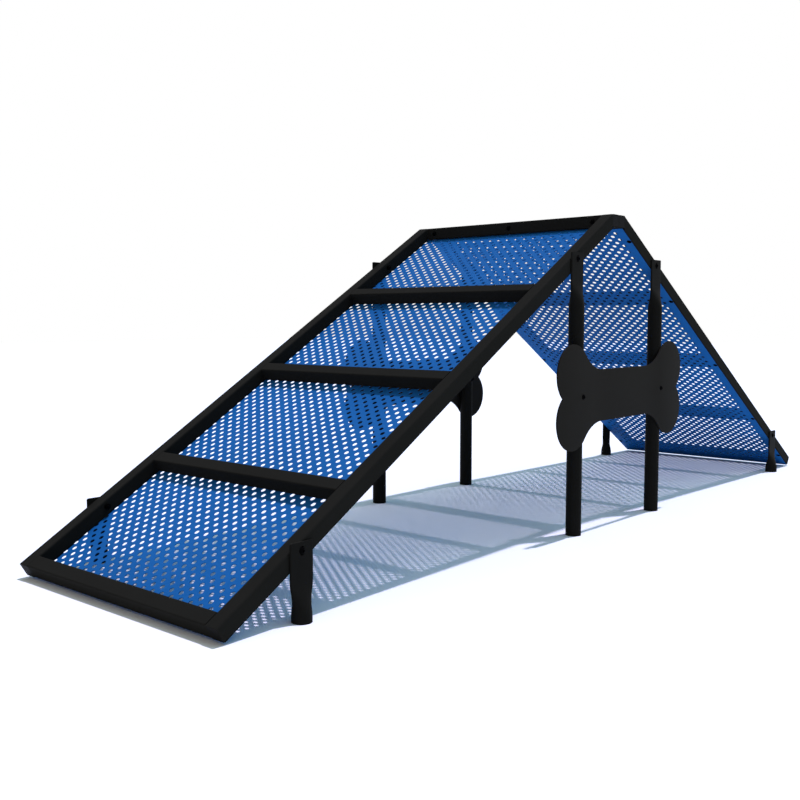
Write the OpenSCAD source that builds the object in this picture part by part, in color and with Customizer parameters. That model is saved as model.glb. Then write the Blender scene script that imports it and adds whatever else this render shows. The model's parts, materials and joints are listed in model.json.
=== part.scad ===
// Agility A-frame: two perforated ramps that meet at a flat ridge and stand on eight posts.
// The ramps run along X, the ridge lies over the origin, and the posts stand on Z = 0.

/* [Ramps] */
// Overall width across the side rails
frame_w = 1016; // [800:1:1400]
// Height of the ridge above the ground
ridge_h = 1262; // [1150:1:1500]
// Slope of each ramp in degrees
ramp_slope = 31; // [28:0.5:33]
// Clearance between the low end of a ramp and the ground
low_end_gap = 7; // [5:0.5:20]
// Side of the square frame tube
tube_w = 50.8; // [45:0.1:60]
// Wall thickness of the frame tube
tube_wall = 3.2; // [2:0.1:4]
// Outer corner radius of the frame tube
tube_corner_r = 5; // [4.5:0.1:8]

/* [Walking panels] */
// Thickness of the perforated sheet
sheet_t = 2; // [1.5:0.1:4]
// Diameter of the perforations
hole_d = 17; // [14:0.5:21]
// Step from one row of holes to the next, and from one column to the next
hole_step = 22.7; // [22:0.1:30]
// Sideways offset of the hole pattern from the panel's centre line
hole_offset = 5.3; // [0:0.1:8]
// Distance of the first row of holes from the low end of the frame
first_row = 83.4; // [75:0.1:120]
// Plain margin kept above the last row of holes
top_margin = 28; // [28:1:120]
// Distance of the sheet's edges inside the edges of the frame
sheet_inset = 3; // [1:0.5:8]
// Diameter of the three holes in the top margin
top_hole_d = 12; // [8:0.5:16]

/* [Posts] */
// Outside diameter of the post tube
post_d = 60.3; // [50:0.1:70]
// Wall thickness of the post tube
post_wall = 3.6; // [2.5:0.1:5]
// Distance of the short posts from the low end of their ramp
short_post_inset = 293; // [250:1:560]
// Distance of the tall posts from the ridge
tall_post_x = 328; // [200:1:600]
// Width of the flattened top
flat_w = 86; // [76:1:100]
// Length of the flattened top
flat_len = 108; // [80:1:125]
// Length of the tall posts' taper between the round tube and the flattened top
taper_len = 104; // [60:1:160]
// Length of the round foot below a short post's taper
foot_len = 15; // [10:1:40]
// Corner radius of the flattened top
flat_corner_r = 5; // [2:0.5:12]
// Width of the bolt slot in the flattened top
slot_w = 16; // [14:0.5:18]
// Length of the bolt slot
slot_len = 27; // [22:0.5:34]
// Distance of the bolt below the top of the post
bolt_drop = 25; // [22:0.5:32]

/* [Bone plates] */
// Thickness of the plate
bone_t = 6.4; // [4:0.1:12]
// Height of the plate's centre above the ground
bone_z = 542; // [400:1:650]
// Radius of the four lobes
lobe_r = 115; // [95:1:130]
// Distance of the lobe centres from the plate's centre, along the ramp
lobe_x = 400; // [330:1:480]
// Distance of the lobe centres above and below the plate's centre
lobe_z = 88; // [75:1:95]
// Height of the plate's shaft
shaft_h = 205; // [150:1:230]
// Radius of the blend between a lobe and the shaft
bone_blend_r = 170; // [60:1:280]

/* [Fasteners] */
// Diameter of the bolts
bolt_d = 12; // [10:0.5:13]
// Diameter of the bolt heads
head_d = 21; // [19:0.5:24]
// Height of the bolt heads
head_h = 6.6; // [4:0.1:9]
// Width of the nuts across flats
nut_w = 18; // [16:0.5:20]
// Height of the nuts
nut_h = 10; // [6:0.5:12]
// Diameter of the panel screws
screw_d = 8; // [6:0.5:10]
// Diameter of the panel screws' heads
screw_head_d = 20; // [16:0.5:24]
// Height of the panel screws' heads
screw_head_h = 4.5; // [3:0.1:7]
// Distance of the ridge bolts at the sides from the side rails
ridge_bolt_inset = 42.2; // [25:0.1:150]
// Distance of the panel screws from the sides of the frame
screw_inset = 13.5; // [12:0.5:30]
// Distance of the lowest panel screws from the low end of the frame
low_screw = 130; // [80:1:300]
// Distance of the highest panel screws from the upper end of the frame
high_screw = 107; // [80:1:200]

/* [Hidden] */
// Width of the hexagon sockets in the heads
socket_w = 8;
// Depth of the hexagon sockets
socket_depth = 3.4;
// Length of a bolt past its nut, and of a screw past the tube wall
tip_len = 4;
// Added to a bolt's diameter for its hole
bolt_clearance = 1;
// Gap between a plug and its tube, a screw and its hole, or a bolt and its nut
fit_gap = 0.2;
// Length of the plugs in the tube ends
plug_len = 14;
// Distance of the three top holes from the upper edge of the sheet
top_hole_margin = 10;
// Gap between the sheet's upper edge and the ridge beam
ridge_gap = 0.5;
// Gap between two sheets of a ramp, under a slat
seam_gap = 0.6;
// How far every cut runs past the face that it opens
overrun = 30;
// Places of the slats as shares of the rail's length
slat_shares = [1 / 4, 1 / 2, 3 / 4];
// Roundness of the taper's sections from the tube to the flat, as powers of a superellipse
round_power = 2;
flat_power = 5;
// Step from the tube to the taper's foot, and from the taper's crown to the flat
taper_step = 0.4;
// How far the bone's hollow edges reach into its lobes and shaft
blend_overlap = 0.02;
// Rings and points of the taper
taper_rings = 8;
taper_points = 28;
// Segments of true circles
round_fn = 48;
half_turn = 180;
quarter_turn = 90;
full_turn = 360;
hex_sides = 6;
left = 1;
right = -1;
frame_black = [0.13, 0.13, 0.13];
post_black = [0.1, 0.1, 0.1];
panel_blue = [0.1, 0.37, 0.73];
plate_black = [0.14, 0.14, 0.14];
bolt_black = [0.05, 0.05, 0.05];

// Heights and lengths of a ramp
low_top_z = low_end_gap + tube_w * cos(ramp_slope);
ramp_run = (ridge_h - low_top_z) / tan(ramp_slope);
slope_len = ramp_run / cos(ramp_slope);
half_length = ramp_run + tube_w;
rail_y = frame_w / 2 - tube_w / 2;
between_rails = frame_w - 2 * tube_w;
ridge_bolt_y = between_rails / 2 - ridge_bolt_inset;
screw_y = frame_w / 2 - screw_inset;

// Sheet and its hole pattern, along the slope
sheet_end = slope_len - tube_w * tan(ramp_slope / 2) - ridge_gap;
row_count = floor((sheet_end - first_row - top_margin) / hole_step) + 1;
side_columns = floor(between_rails / 2 / hole_step);
slat_places = [for (share = slat_shares) share * slope_len];
row_breaks = [0, for (place = slat_places) round((place - first_row) / hole_step + 1 / 2), row_count];
seams = [for (bay = [1 : len(slat_places)]) first_row + (row_breaks[bay] - 1 / 2) * hole_step];
sheet_starts = [sheet_inset, for (seam = seams) seam + seam_gap / 2];
sheet_ends = [for (seam = seams) seam - seam_gap / 2, sheet_end];
screw_places = [low_screw, for (seam = seams) seam, slope_len - high_screw];

// Posts
short_post_x = half_length - short_post_inset;
tall_round_len = rail_top(tall_post_x) - flat_len - taper_len;
flat_t = 2 * post_wall;
post_y = frame_w / 2 + flat_t / 2;
bone_y = post_y + post_d / 2;
bolt_hole_d = bolt_d + bolt_clearance;

function rail_top(x) = ridge_h - (x - tube_w) * tan(ramp_slope);

// Places children on the front ramp: X runs up the slope from its low end, Z out of its top
module on_ramp() {
    translate([-half_length, 0, low_top_z]) rotate([0, -ramp_slope, 0]) children();
}

// The rear ramp is the front one after half a turn about the ridge
module rear() {
    rotate([0, 0, half_turn]) children();
}

// Square with true round corners, about its centre
module rounded_square(width, corner_r) {
    square([width, width - 2 * corner_r], center = true);
    square([width - 2 * corner_r, width], center = true);
    for (x = [-1, 1], y = [-1, 1])
        translate([x, y] * (width / 2 - corner_r)) circle(r = corner_r, $fn = round_fn);
}

// Frame tube along Z, starting at 0
module tube(length) {
    linear_extrude(length) difference() {
        rounded_square(tube_w, tube_corner_r);
        rounded_square(tube_w - 2 * tube_wall, tube_corner_r - tube_wall);
    }
}

// Plug that fits inside a frame tube, flush with its end at 0 and reaching into Z
module plug() {
    linear_extrude(plug_len)
        rounded_square(tube_w - 2 * tube_wall - 2 * fit_gap, tube_corner_r - tube_wall);
}

// Cuts away everything on the ridge side of the ridge beam's face
module ridge_cut() {
    translate([-tube_w, -frame_w, 0]) cube([frame_w, 2 * frame_w, ridge_h + tube_w + overrun]);
}

// Places children at the bolts of the front posts on one side, with Z pointing out of the ramp
module at_post_bolts(side) {
    for (x = [short_post_x, tall_post_x])
        translate([-x, side * frame_w / 2, rail_top(x) - bolt_drop])
            rotate([-side * quarter_turn, 0, 0]) children();
}

// Places children at the panel screws on one side, with Z pointing out of the ramp's top
module at_screws(side) {
    for (place = screw_places) translate([place, side * screw_y, -tube_w]) children();
}

// Side rail of the front ramp, cut upright where it meets the ridge beam
module side_rail(side) {
    color(frame_black) difference() {
        on_ramp() translate([0, side * rail_y, -tube_w / 2])
            rotate([0, quarter_turn, 0]) tube(slope_len + tube_w);
        ridge_cut();
        at_post_bolts(side) translate([0, 0, -tube_w - overrun])
            cylinder(d = bolt_hole_d, h = tube_w + 2 * overrun, $fn = round_fn);
        on_ramp() at_screws(side)
            translate([0, 0, -tube_wall]) cylinder(d = screw_d + fit_gap, h = 3 * tube_wall, $fn = round_fn);
    }
}

// Tube across the front ramp between its rails, with its centre at a distance up the slope
module cross_tube(place) {
    color(frame_black) on_ramp() translate([place, between_rails / 2, -tube_w / 2])
        rotate([quarter_turn, 0, 0]) tube(between_rails);
}

// Places children at the ridge bolts, with Z along the ramps
module at_ridge_bolts() {
    for (y = [-ridge_bolt_y, 0, ridge_bolt_y])
        translate([0, y, ridge_h - tube_w / 2]) rotate([0, quarter_turn, 0]) children();
}

// Upright tube across the top of the front ramp
module ridge_beam() {
    color(frame_black) difference() {
        translate([-tube_w / 2, frame_w / 2, ridge_h - tube_w / 2])
            rotate([quarter_turn, 0, 0]) tube(frame_w);
        at_ridge_bolts() translate([0, 0, -tube_w - overrun])
            cylinder(d = bolt_hole_d, h = tube_w + 2 * overrun, $fn = round_fn);
    }
}

// Perforations of the rows from first to last, every second row shifted by one column
module hole_rows(first, last) {
    for (row = [first : last], column = [-side_columns + row % 2 : 2 : side_columns])
        translate([first_row + row * hole_step, hole_offset + column * hole_step])
            circle(d = hole_d, $fn = round_fn);
}

// Perforated sheet under one bay of the front ramp, counted from the low end
module sheet(bay) {
    from = sheet_starts[bay];
    to = sheet_ends[bay];
    color(panel_blue) on_ramp() translate([0, 0, -tube_w - sheet_t]) linear_extrude(sheet_t) difference() {
        translate([from, sheet_inset - frame_w / 2]) square([to - from, frame_w - 2 * sheet_inset]);
        hole_rows(row_breaks[bay], row_breaks[bay + 1] - 1);
        for (place = [screw_places[bay], screw_places[bay + 1]], side = [left, right])
            translate([place, side * screw_y]) circle(d = screw_d + bolt_clearance, $fn = round_fn);
        if (bay == len(seams)) for (y = [-ridge_bolt_y, 0, ridge_bolt_y])
            translate([sheet_end - top_hole_margin, y]) circle(d = top_hole_d, $fn = round_fn);
    }
}

// Point of a taper section at an angle: a superellipse that turns from a circle into a thin flat
function power(value, exponent) = sign(value) * pow(abs(value), exponent);
function blend(a, b, share) = a + (b - a) * share;
function taper_point(angle, share, z) =
    let (half_w = blend(post_d, flat_w, share) / 2 - taper_step)
    let (half_t = blend(post_d, flat_t, share) / 2 - taper_step)
    let (exponent = 2 / blend(round_power, flat_power, pow(share, 3)))
    [half_w * power(cos(angle), exponent), half_t * power(sin(angle), exponent), z];

// Loft of a height from the round tube to the flattened top, starting at 0
module taper(height) {
    points = [
        for (ring = [0 : taper_rings], point = [0 : taper_points - 1])
            taper_point(full_turn * point / taper_points, ring / taper_rings, height * ring / taper_rings)
    ];
    walls = [
        for (ring = [0 : taper_rings - 1], point = [0 : taper_points - 1])
            let (next = (point + 1) % taper_points)
            [ring * taper_points + point, (ring + 1) * taper_points + point,
             (ring + 1) * taper_points + next, ring * taper_points + next]
    ];
    foot = [for (point = [0 : taper_points - 1]) point];
    crown = [for (point = [taper_points - 1 : -1 : 0]) taper_rings * taper_points + point];
    polyhedron(points = points, faces = concat(walls, [foot, crown]));
}

// Flattened top with round corners, standing on 0
module flat_top() {
    translate([0, flat_t / 2, 0]) rotate([quarter_turn, 0, 0]) linear_extrude(flat_t) {
        translate([-flat_w / 2, 0]) square([flat_w, flat_len - flat_corner_r]);
        translate([flat_corner_r - flat_w / 2, 0]) square([flat_w - 2 * flat_corner_r, flat_len]);
        for (side = [-1, 1])
            translate([side * (flat_w / 2 - flat_corner_r), flat_len - flat_corner_r])
                circle(r = flat_corner_r, $fn = round_fn);
    }
}

// Slot for the bolt through the flattened top, with its centre at 0
module bolt_slot() {
    rotate([quarter_turn, 0, 0]) linear_extrude(flat_t + overrun, center = true) {
        square([slot_w, slot_len - slot_w], center = true);
        for (end = [-1, 1]) translate([0, end * (slot_len - slot_w) / 2]) circle(d = slot_w, $fn = round_fn);
    }
}

// Post at a place beside the ramps, round for a length and then flattened up to the top of the rail there
module post(x, round_len, side, along) {
    height = rail_top(x);
    flat_z = height - flat_len;
    color(post_black) translate([along * x, side * post_y, 0]) difference() {
        union() {
            cylinder(d = post_d, h = round_len, $fn = round_fn);
            translate([0, 0, round_len]) taper(flat_z - round_len);
            translate([0, 0, flat_z]) flat_top();
        }
        translate([0, 0, -overrun])
            cylinder(d = post_d - 2 * post_wall, h = round_len - post_wall + overrun, $fn = round_fn);
        translate([0, 0, height - bolt_drop]) bolt_slot();
        if (x == tall_post_x)
            translate([0, 0, bone_z]) rotate([quarter_turn, 0, 0])
                cylinder(d = bolt_hole_d, h = post_d + overrun, center = true, $fn = round_fn);
    }
}

// Fill between a lobe and the shaft, with a hollow round edge that touches both
module bone_blend() {
    blend_z = shaft_h / 2 + bone_blend_r;
    blend_x = lobe_x - sqrt(pow(lobe_r + bone_blend_r, 2) - pow(blend_z - lobe_z, 2));
    difference() {
        polygon([[blend_x, 0], [lobe_x, 0], [lobe_x, lobe_z], [blend_x, blend_z]]);
        translate([blend_x, blend_z]) circle(r = bone_blend_r + blend_overlap, $fn = 2 * round_fn);
    }
}

// Outline of the bone about its centre
module bone_outline() {
    square([2 * lobe_x, shaft_h], center = true);
    for (x = [0, 1], y = [0, 1]) mirror([x, 0]) mirror([0, y]) {
        translate([lobe_x, lobe_z]) circle(r = lobe_r, $fn = 2 * round_fn);
        bone_blend();
    }
}

// Places children at the bone bolts on one side, with Z pointing away from the ramp
module at_bone_bolts(side) {
    for (x = [-tall_post_x, tall_post_x])
        translate([x, side * bone_y, bone_z]) rotate([-side * quarter_turn, 0, 0]) children();
}

// Bone-shaped plate in front of the tall posts on one side
module bone_plate(side) {
    color(plate_black) difference() {
        translate([0, side * (bone_y + bone_t / 2), bone_z])
            rotate([quarter_turn, 0, 0]) linear_extrude(bone_t, center = true) bone_outline();
        at_bone_bolts(side) translate([0, 0, -overrun])
            cylinder(d = bolt_hole_d, h = bone_t + 2 * overrun, $fn = round_fn);
    }
}

// Low domed head with a hexagon socket, standing on 0
module domed_head(width, height) {
    dome_r = (pow(width / 2, 2) + pow(height, 2)) / (2 * height);
    difference() {
        intersection() {
            translate([0, 0, height - dome_r]) sphere(r = dome_r, $fn = 2 * round_fn);
            cylinder(d = width, h = height, $fn = round_fn);
        }
        translate([0, 0, height - socket_depth])
            cylinder(d = socket_w / cos(half_turn / hex_sides), h = height, $fn = hex_sides);
    }
}

// Bolt with its head standing on 0 and its shank reaching down over a grip, a nut and a tip
module bolt(grip) {
    domed_head(head_d, head_h);
    shank_len = grip + nut_h + tip_len;
    translate([0, 0, -shank_len]) cylinder(d = bolt_d, h = shank_len, $fn = round_fn);
}

// Nut below the far end of a grip
module nut(grip) {
    translate([0, 0, -grip - nut_h]) difference() {
        cylinder(d = nut_w / cos(half_turn / hex_sides), h = nut_h, $fn = hex_sides);
        translate([0, 0, -overrun]) cylinder(d = bolt_d + fit_gap, h = nut_h + 2 * overrun, $fn = round_fn);
    }
}

// Panel screw with its head below the sheet and its shank up through the tube wall
module panel_screw() {
    translate([0, 0, -sheet_t]) mirror([0, 0, 1]) domed_head(screw_head_d, screw_head_h);
    translate([0, 0, -sheet_t]) cylinder(d = screw_d, h = sheet_t + tube_wall + tip_len, $fn = round_fn);
}

module front_left_rail() { side_rail(left); }
module front_right_rail() { side_rail(right); }
module front_bottom_rail() { cross_tube(tube_w / 2); }
module front_low_slat() { cross_tube(slat_places[0]); }
module front_mid_slat() { cross_tube(slat_places[1]); }
module front_high_slat() { cross_tube(slat_places[2]); }
module front_ridge_beam() { ridge_beam(); }
module front_panel_1() { sheet(0); }
module front_panel_2() { sheet(1); }
module front_panel_3() { sheet(2); }
module front_panel_4() { sheet(3); }
module rear_left_rail() { rear() side_rail(right); }
module rear_right_rail() { rear() side_rail(left); }
module rear_bottom_rail() { rear() front_bottom_rail(); }
module rear_low_slat() { rear() front_low_slat(); }
module rear_mid_slat() { rear() front_mid_slat(); }
module rear_high_slat() { rear() front_high_slat(); }
module rear_ridge_beam() { rear() ridge_beam(); }
module rear_panel_1() { rear() sheet(0); }
module rear_panel_2() { rear() sheet(1); }
module rear_panel_3() { rear() sheet(2); }
module rear_panel_4() { rear() sheet(3); }
module front_left_short_post() { post(short_post_x, foot_len, left, -1); }
module front_right_short_post() { post(short_post_x, foot_len, right, -1); }
module front_left_tall_post() { post(tall_post_x, tall_round_len, left, -1); }
module front_right_tall_post() { post(tall_post_x, tall_round_len, right, -1); }
module rear_left_short_post() { post(short_post_x, foot_len, left, 1); }
module rear_right_short_post() { post(short_post_x, foot_len, right, 1); }
module rear_left_tall_post() { post(tall_post_x, tall_round_len, left, 1); }
module rear_right_tall_post() { post(tall_post_x, tall_round_len, right, 1); }
module left_bone_plate() { bone_plate(left); }
module right_bone_plate() { bone_plate(right); }

// Four plugs in the low ends of the side rails
module rail_end_plugs() {
    color(bolt_black) for (turn = [0, half_turn], side = [left, right])
        rotate([0, 0, turn]) on_ramp() translate([0, side * rail_y, -tube_w / 2])
            rotate([0, quarter_turn, 0]) plug();
}

// Four plugs in the ends of the ridge beams
module ridge_beam_plugs() {
    color(bolt_black) for (turn = [0, half_turn], side = [left, right])
        rotate([0, 0, turn]) translate([-tube_w / 2, side * frame_w / 2, ridge_h - tube_w / 2])
            rotate([side * quarter_turn, 0, 0]) plug();
}

// Eight bolts through the posts' slots and the side rails
module post_bolts() {
    color(bolt_black) for (turn = [0, half_turn], side = [left, right])
        rotate([0, 0, turn]) at_post_bolts(side) translate([0, 0, flat_t]) bolt(flat_t + tube_w);
}

// Eight nuts on the inner faces of the side rails
module post_nuts() {
    color(bolt_black) for (turn = [0, half_turn], side = [left, right])
        rotate([0, 0, turn]) at_post_bolts(side) translate([0, 0, flat_t]) nut(flat_t + tube_w);
}

// Three bolts that join the two ridge beams, with their heads on the front one
module ridge_bolts() {
    color(bolt_black) at_ridge_bolts() translate([0, 0, -tube_w]) mirror([0, 0, 1]) bolt(2 * tube_w);
}

// Three nuts on the rear ridge beam
module ridge_nuts() {
    color(bolt_black) at_ridge_bolts() translate([0, 0, -tube_w]) mirror([0, 0, 1]) nut(2 * tube_w);
}

// Ten screws under each ramp's sheets
module panel_screws() {
    color(bolt_black) for (turn = [0, half_turn], side = [left, right])
        rotate([0, 0, turn]) on_ramp() at_screws(side) panel_screw();
}

// Four bolts through the bone plates and the tall posts
module bone_bolts() {
    color(bolt_black) for (side = [left, right])
        at_bone_bolts(side) translate([0, 0, bone_t]) bolt(bone_t + post_d);
}

// Four nuts behind the tall posts
module bone_nuts() {
    color(bolt_black) for (side = [left, right])
        at_bone_bolts(side) translate([0, 0, bone_t]) nut(bone_t + post_d);
}

front_left_rail();
front_right_rail();
front_bottom_rail();
front_low_slat();
front_mid_slat();
front_high_slat();
front_ridge_beam();
front_panel_1();
front_panel_2();
front_panel_3();
front_panel_4();
rear_left_rail();
rear_right_rail();
rear_bottom_rail();
rear_low_slat();
rear_mid_slat();
rear_high_slat();
rear_ridge_beam();
rear_panel_1();
rear_panel_2();
rear_panel_3();
rear_panel_4();
front_left_short_post();
front_right_short_post();
front_left_tall_post();
front_right_tall_post();
rear_left_short_post();
rear_right_short_post();
rear_left_tall_post();
rear_right_tall_post();
left_bone_plate();
right_bone_plate();
rail_end_plugs();
ridge_beam_plugs();
post_bolts();
post_nuts();
ridge_bolts();
ridge_nuts();
panel_screws();
bone_bolts();
bone_nuts();
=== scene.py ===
"""Looks of an agility A-frame: two perforated ramps that meet at a flat ridge, on posts with flattened tops.

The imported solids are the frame. Pieces that need a finer surface than the solids' meshes replace them in the
same place, every piece gets its finish, and a plain stage with a high sun and an open sky lights it.
"""

import json
import math

import bmesh
import bpy
import numpy as np
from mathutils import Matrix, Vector


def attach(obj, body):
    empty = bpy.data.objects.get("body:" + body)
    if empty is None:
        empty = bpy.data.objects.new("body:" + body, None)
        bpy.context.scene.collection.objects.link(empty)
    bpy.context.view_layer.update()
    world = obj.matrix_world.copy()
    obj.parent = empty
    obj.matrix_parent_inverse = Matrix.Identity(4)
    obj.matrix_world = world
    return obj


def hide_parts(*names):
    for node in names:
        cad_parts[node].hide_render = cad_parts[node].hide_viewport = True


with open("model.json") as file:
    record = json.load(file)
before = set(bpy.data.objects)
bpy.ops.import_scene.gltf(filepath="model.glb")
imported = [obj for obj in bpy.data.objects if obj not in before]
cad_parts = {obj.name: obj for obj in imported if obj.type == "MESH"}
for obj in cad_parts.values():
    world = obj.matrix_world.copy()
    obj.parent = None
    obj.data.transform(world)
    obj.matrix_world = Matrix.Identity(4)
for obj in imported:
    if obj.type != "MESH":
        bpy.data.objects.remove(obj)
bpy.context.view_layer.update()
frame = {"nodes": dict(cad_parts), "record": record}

bl_info = {
    "name": "Agility A-frame",
    "version": (1, 0, 0),
    "blender": (4, 5, 0),
    "location": "3D View > Sidebar > A-frame",
    "description": "Tubes, posts, bone plates, fasteners and finishes of an agility A-frame, with a stage",
    "category": "Add Mesh",
}

BODY = "root"
LEFT, RIGHT = 1, -1
FRONT, REAR = -1, 1
HANDS = {LEFT: "left", RIGHT: "right"}
ENDS = {FRONT: "front", REAR: "rear"}
HALF_TURN = np.array([-1.0, -1.0, 1.0])
MERGE_DISTANCE = 1e-5
# How far in from the sheets' side edges the dark painted shade begins.
PAINTED_SHADE_EDGE_DEPTH = 0.0005
QUARTER = math.pi / 2


def length(name, description, default):
    """A length in metres as a property."""
    return bpy.props.FloatProperty(name=name, description=description, default=default, min=0.0, precision=4,
                                   unit="LENGTH")


def colour(name, description, default, top=1.0):
    """A linear colour as a property, up to a top that passes 1 for light."""
    return bpy.props.FloatVectorProperty(name=name, description=description, default=default, size=3, min=0.0,
                                         max=top, subtype="COLOR")


def power(name, description, default):
    """A power from 1 to 3 as a property."""
    return bpy.props.FloatProperty(name=name, description=description, default=default, min=1.0, max=3.0)


def settings_group(kind, name, description):
    """A group of settings as a property."""
    return bpy.props.PointerProperty(type=kind, name=name, description=description)


class RampSizes(bpy.types.PropertyGroup):
    """Sizes of the two ramp frames."""

    frame_width: length("Frame width", "Across the outer faces of the side rails", 1.016)
    ridge_height: length("Ridge height", "Top of the ridge above the ground", 1.262)
    slope: bpy.props.FloatProperty(name="Slope", description="Slope of each ramp", default=math.radians(31),
                                   subtype="ANGLE")
    low_gap: length("Low gap", "Clearance between a ramp's low end and the ground", 0.007)
    tube_side: length("Tube side", "Side of the square frame tube", 0.0508)
    tube_wall: length("Tube wall", "Wall thickness of the frame tube", 0.0032)
    tube_corner: length("Tube corner", "Outer corner radius of the frame tube", 0.005)
    sheet: length("Sheet", "Thickness of the perforated sheets", 0.002)
    sheet_inset: length("Sheet inset", "Distance of the sheets' edges from the sides of the frame", 0.003)
    first_row: length("First row", "Distance of the first row of holes from the low end", 0.0834)
    row_step: length("Row step", "Distance from one row of holes to the next", 0.0227)
    weld: length("Weld", "Leg of the fillet welds at the tube joints", 0.003)


class PostSizes(bpy.types.PropertyGroup):
    """Sizes of the eight posts."""

    diameter: length("Diameter", "Outside diameter of the post tube", 0.0603)
    wall: length("Wall", "Wall thickness of the post tube", 0.0036)
    short_inset: length("Short posts", "Distance of the short posts from the low end of their ramp", 0.293)
    tall_x: length("Tall posts", "Distance of the tall posts from the ridge", 0.328)
    flat_width: length("Flat width", "Width of the flattened top", 0.086)
    flat_length: length("Flat length", "Length of the flattened top", 0.108)
    taper_length: length("Taper length", "Length of a tall post's taper between tube and flat", 0.104)
    foot_length: length("Foot length", "Length of the round foot below a short post's taper", 0.015)
    short_spread: power("Short spread", "Power by which a short post's taper widens", 1.25)
    tall_spread: power("Tall spread", "Power by which a tall post's taper widens", 1.0)
    flat_corner: length("Flat corner", "Corner radius of the flattened top", 0.005)
    slot_width: length("Slot width", "Width of the bolt slot", 0.016)
    slot_length: length("Slot length", "Length of the bolt slot", 0.027)
    bolt_drop: length("Bolt drop", "Distance of the bolt below the post's top", 0.025)


class BoneSizes(bpy.types.PropertyGroup):
    """Sizes of the two bone-shaped plates."""

    thickness: length("Thickness", "Thickness of the plate", 0.0064)
    centre_height: length("Centre height", "Height of the plate's centre above the ground", 0.542)
    lobe_radius: length("Lobe radius", "Radius of the four lobes", 0.115)
    lobe_x: length("Lobe distance", "Distance of the lobe centres along the ramp", 0.400)
    lobe_z: length("Lobe height", "Distance of the lobe centres above and below the centre", 0.088)
    shaft: length("Shaft", "Height of the plate's shaft", 0.205)
    blend_radius: length("Blend radius", "Radius between a lobe and the shaft", 0.170)
    edge: length("Edge", "Rounding of the plate's edges", 0.0011)


class FastenerSizes(bpy.types.PropertyGroup):
    """Sizes of the bolts, nuts and screws."""

    bolt: length("Bolt", "Diameter of the bolts", 0.012)
    head: length("Head", "Diameter of the bolt heads", 0.021)
    head_height: length("Head height", "Height of the bolt heads", 0.0065)
    nut: length("Nut", "Width of the nuts across flats", 0.018)
    nut_height: length("Nut height", "Height of the nuts", 0.010)
    tip: length("Tip", "Length of a bolt past its nut", 0.004)
    screw: length("Screw", "Diameter of the panel screws", 0.008)
    screw_head: length("Screw head", "Diameter of the screw heads", 0.020)
    screw_head_height: length("Screw head height", "Height of the screw heads", 0.0045)
    socket: length("Socket", "Width of the hexagon sockets across flats", 0.008)
    socket_depth: length("Socket depth", "Depth of the hexagon sockets", 0.0034)
    ridge_inset: length("Ridge bolts", "Distance of the outer ridge bolts from the side rails", 0.0422)
    screw_inset: length("Screw inset", "Distance of the panel screws from the sides of the frame", 0.0135)
    low_screw: length("Low screws", "Distance of the lowest screws from the low end of the frame", 0.130)
    high_screw: length("High screws", "Distance of the highest screws from the upper end of the frame", 0.107)
    pitch: length("Pitch", "Thread pitch of the bolts", 0.00175)
    screw_socket: length("Screw socket", "Width of the screws' sockets across flats", 0.006)
    screw_socket_depth: length("Screw socket depth", "Depth of the screws' sockets", 0.00238)
    screw_pitch: length("Screw pitch", "Thread pitch of the screws", 0.0014)


class FinishColours(bpy.types.PropertyGroup):
    """Colours of the finishes and of the light."""

    frame_coat: colour("Frame coat", "Powder coat of the frame tubes", (0.0133, 0.0131, 0.0110))
    post_coat: colour("Post coat", "Powder coat of the posts", (0.0091, 0.0089, 0.0075))
    plate_coat: colour("Plate coat", "Powder coat of the bone plates", (0.0162, 0.0150, 0.0123))
    panel_coat: colour("Panel coat", "Powder coat of the perforated sheets", (0.0085, 0.105, 0.326))
    plug_plastic: colour("Plug plastic", "Moulded plugs in the tube ends", (0.0050, 0.0050, 0.0050))
    # Real black oxide on the fasteners. The same dark colour is also the painted shade on the sheets' side
    # edges.
    oxide_and_edge_shade: colour("Bolt oxide", "Black oxide on bolts, nuts and screws", (0.0012, 0.0012, 0.0013))
    floor: colour("Floor", "Floor of the stage", (0.97, 0.97, 0.97))
    sunlight: colour("Sunlight", "Colour of the sun", (0.81, 0.755, 1.0))
    sky_ahead: colour("Sky ahead", "Light of the sky on the front ramp's side", (0.80, 0.54, 0.37), top=2.0)
    sky_behind: colour("Sky behind", "Light of the sky on the rear ramp's side", (0.47, 1.17, 1.55), top=2.0)


class AframeSettings(bpy.types.PropertyGroup):
    """All sizes and colours of the A-frame and its stage."""

    ramps: settings_group(RampSizes, "Ramps", "Sizes of the ramp frames")
    posts: settings_group(PostSizes, "Posts", "Sizes of the posts")
    bones: settings_group(BoneSizes, "Bone plates", "Sizes of the bone plates")
    fasteners: settings_group(FastenerSizes, "Fasteners", "Sizes of the fasteners")
    colours: settings_group(FinishColours, "Colours", "Colours of the finishes and of the light")


def points_of(x, y, z):
    """Points from three arrays or numbers, broadcast together."""
    return np.stack(np.broadcast_arrays(x, y, z), -1)


def on_circle(angle):
    """Points of the unit circle at angles."""
    return np.stack([np.cos(angle), np.sin(angle)], -1)


def full_turn(columns):
    """Angles of a full turn in even steps."""
    return np.arange(columns) * 2 * math.pi / columns


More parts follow.
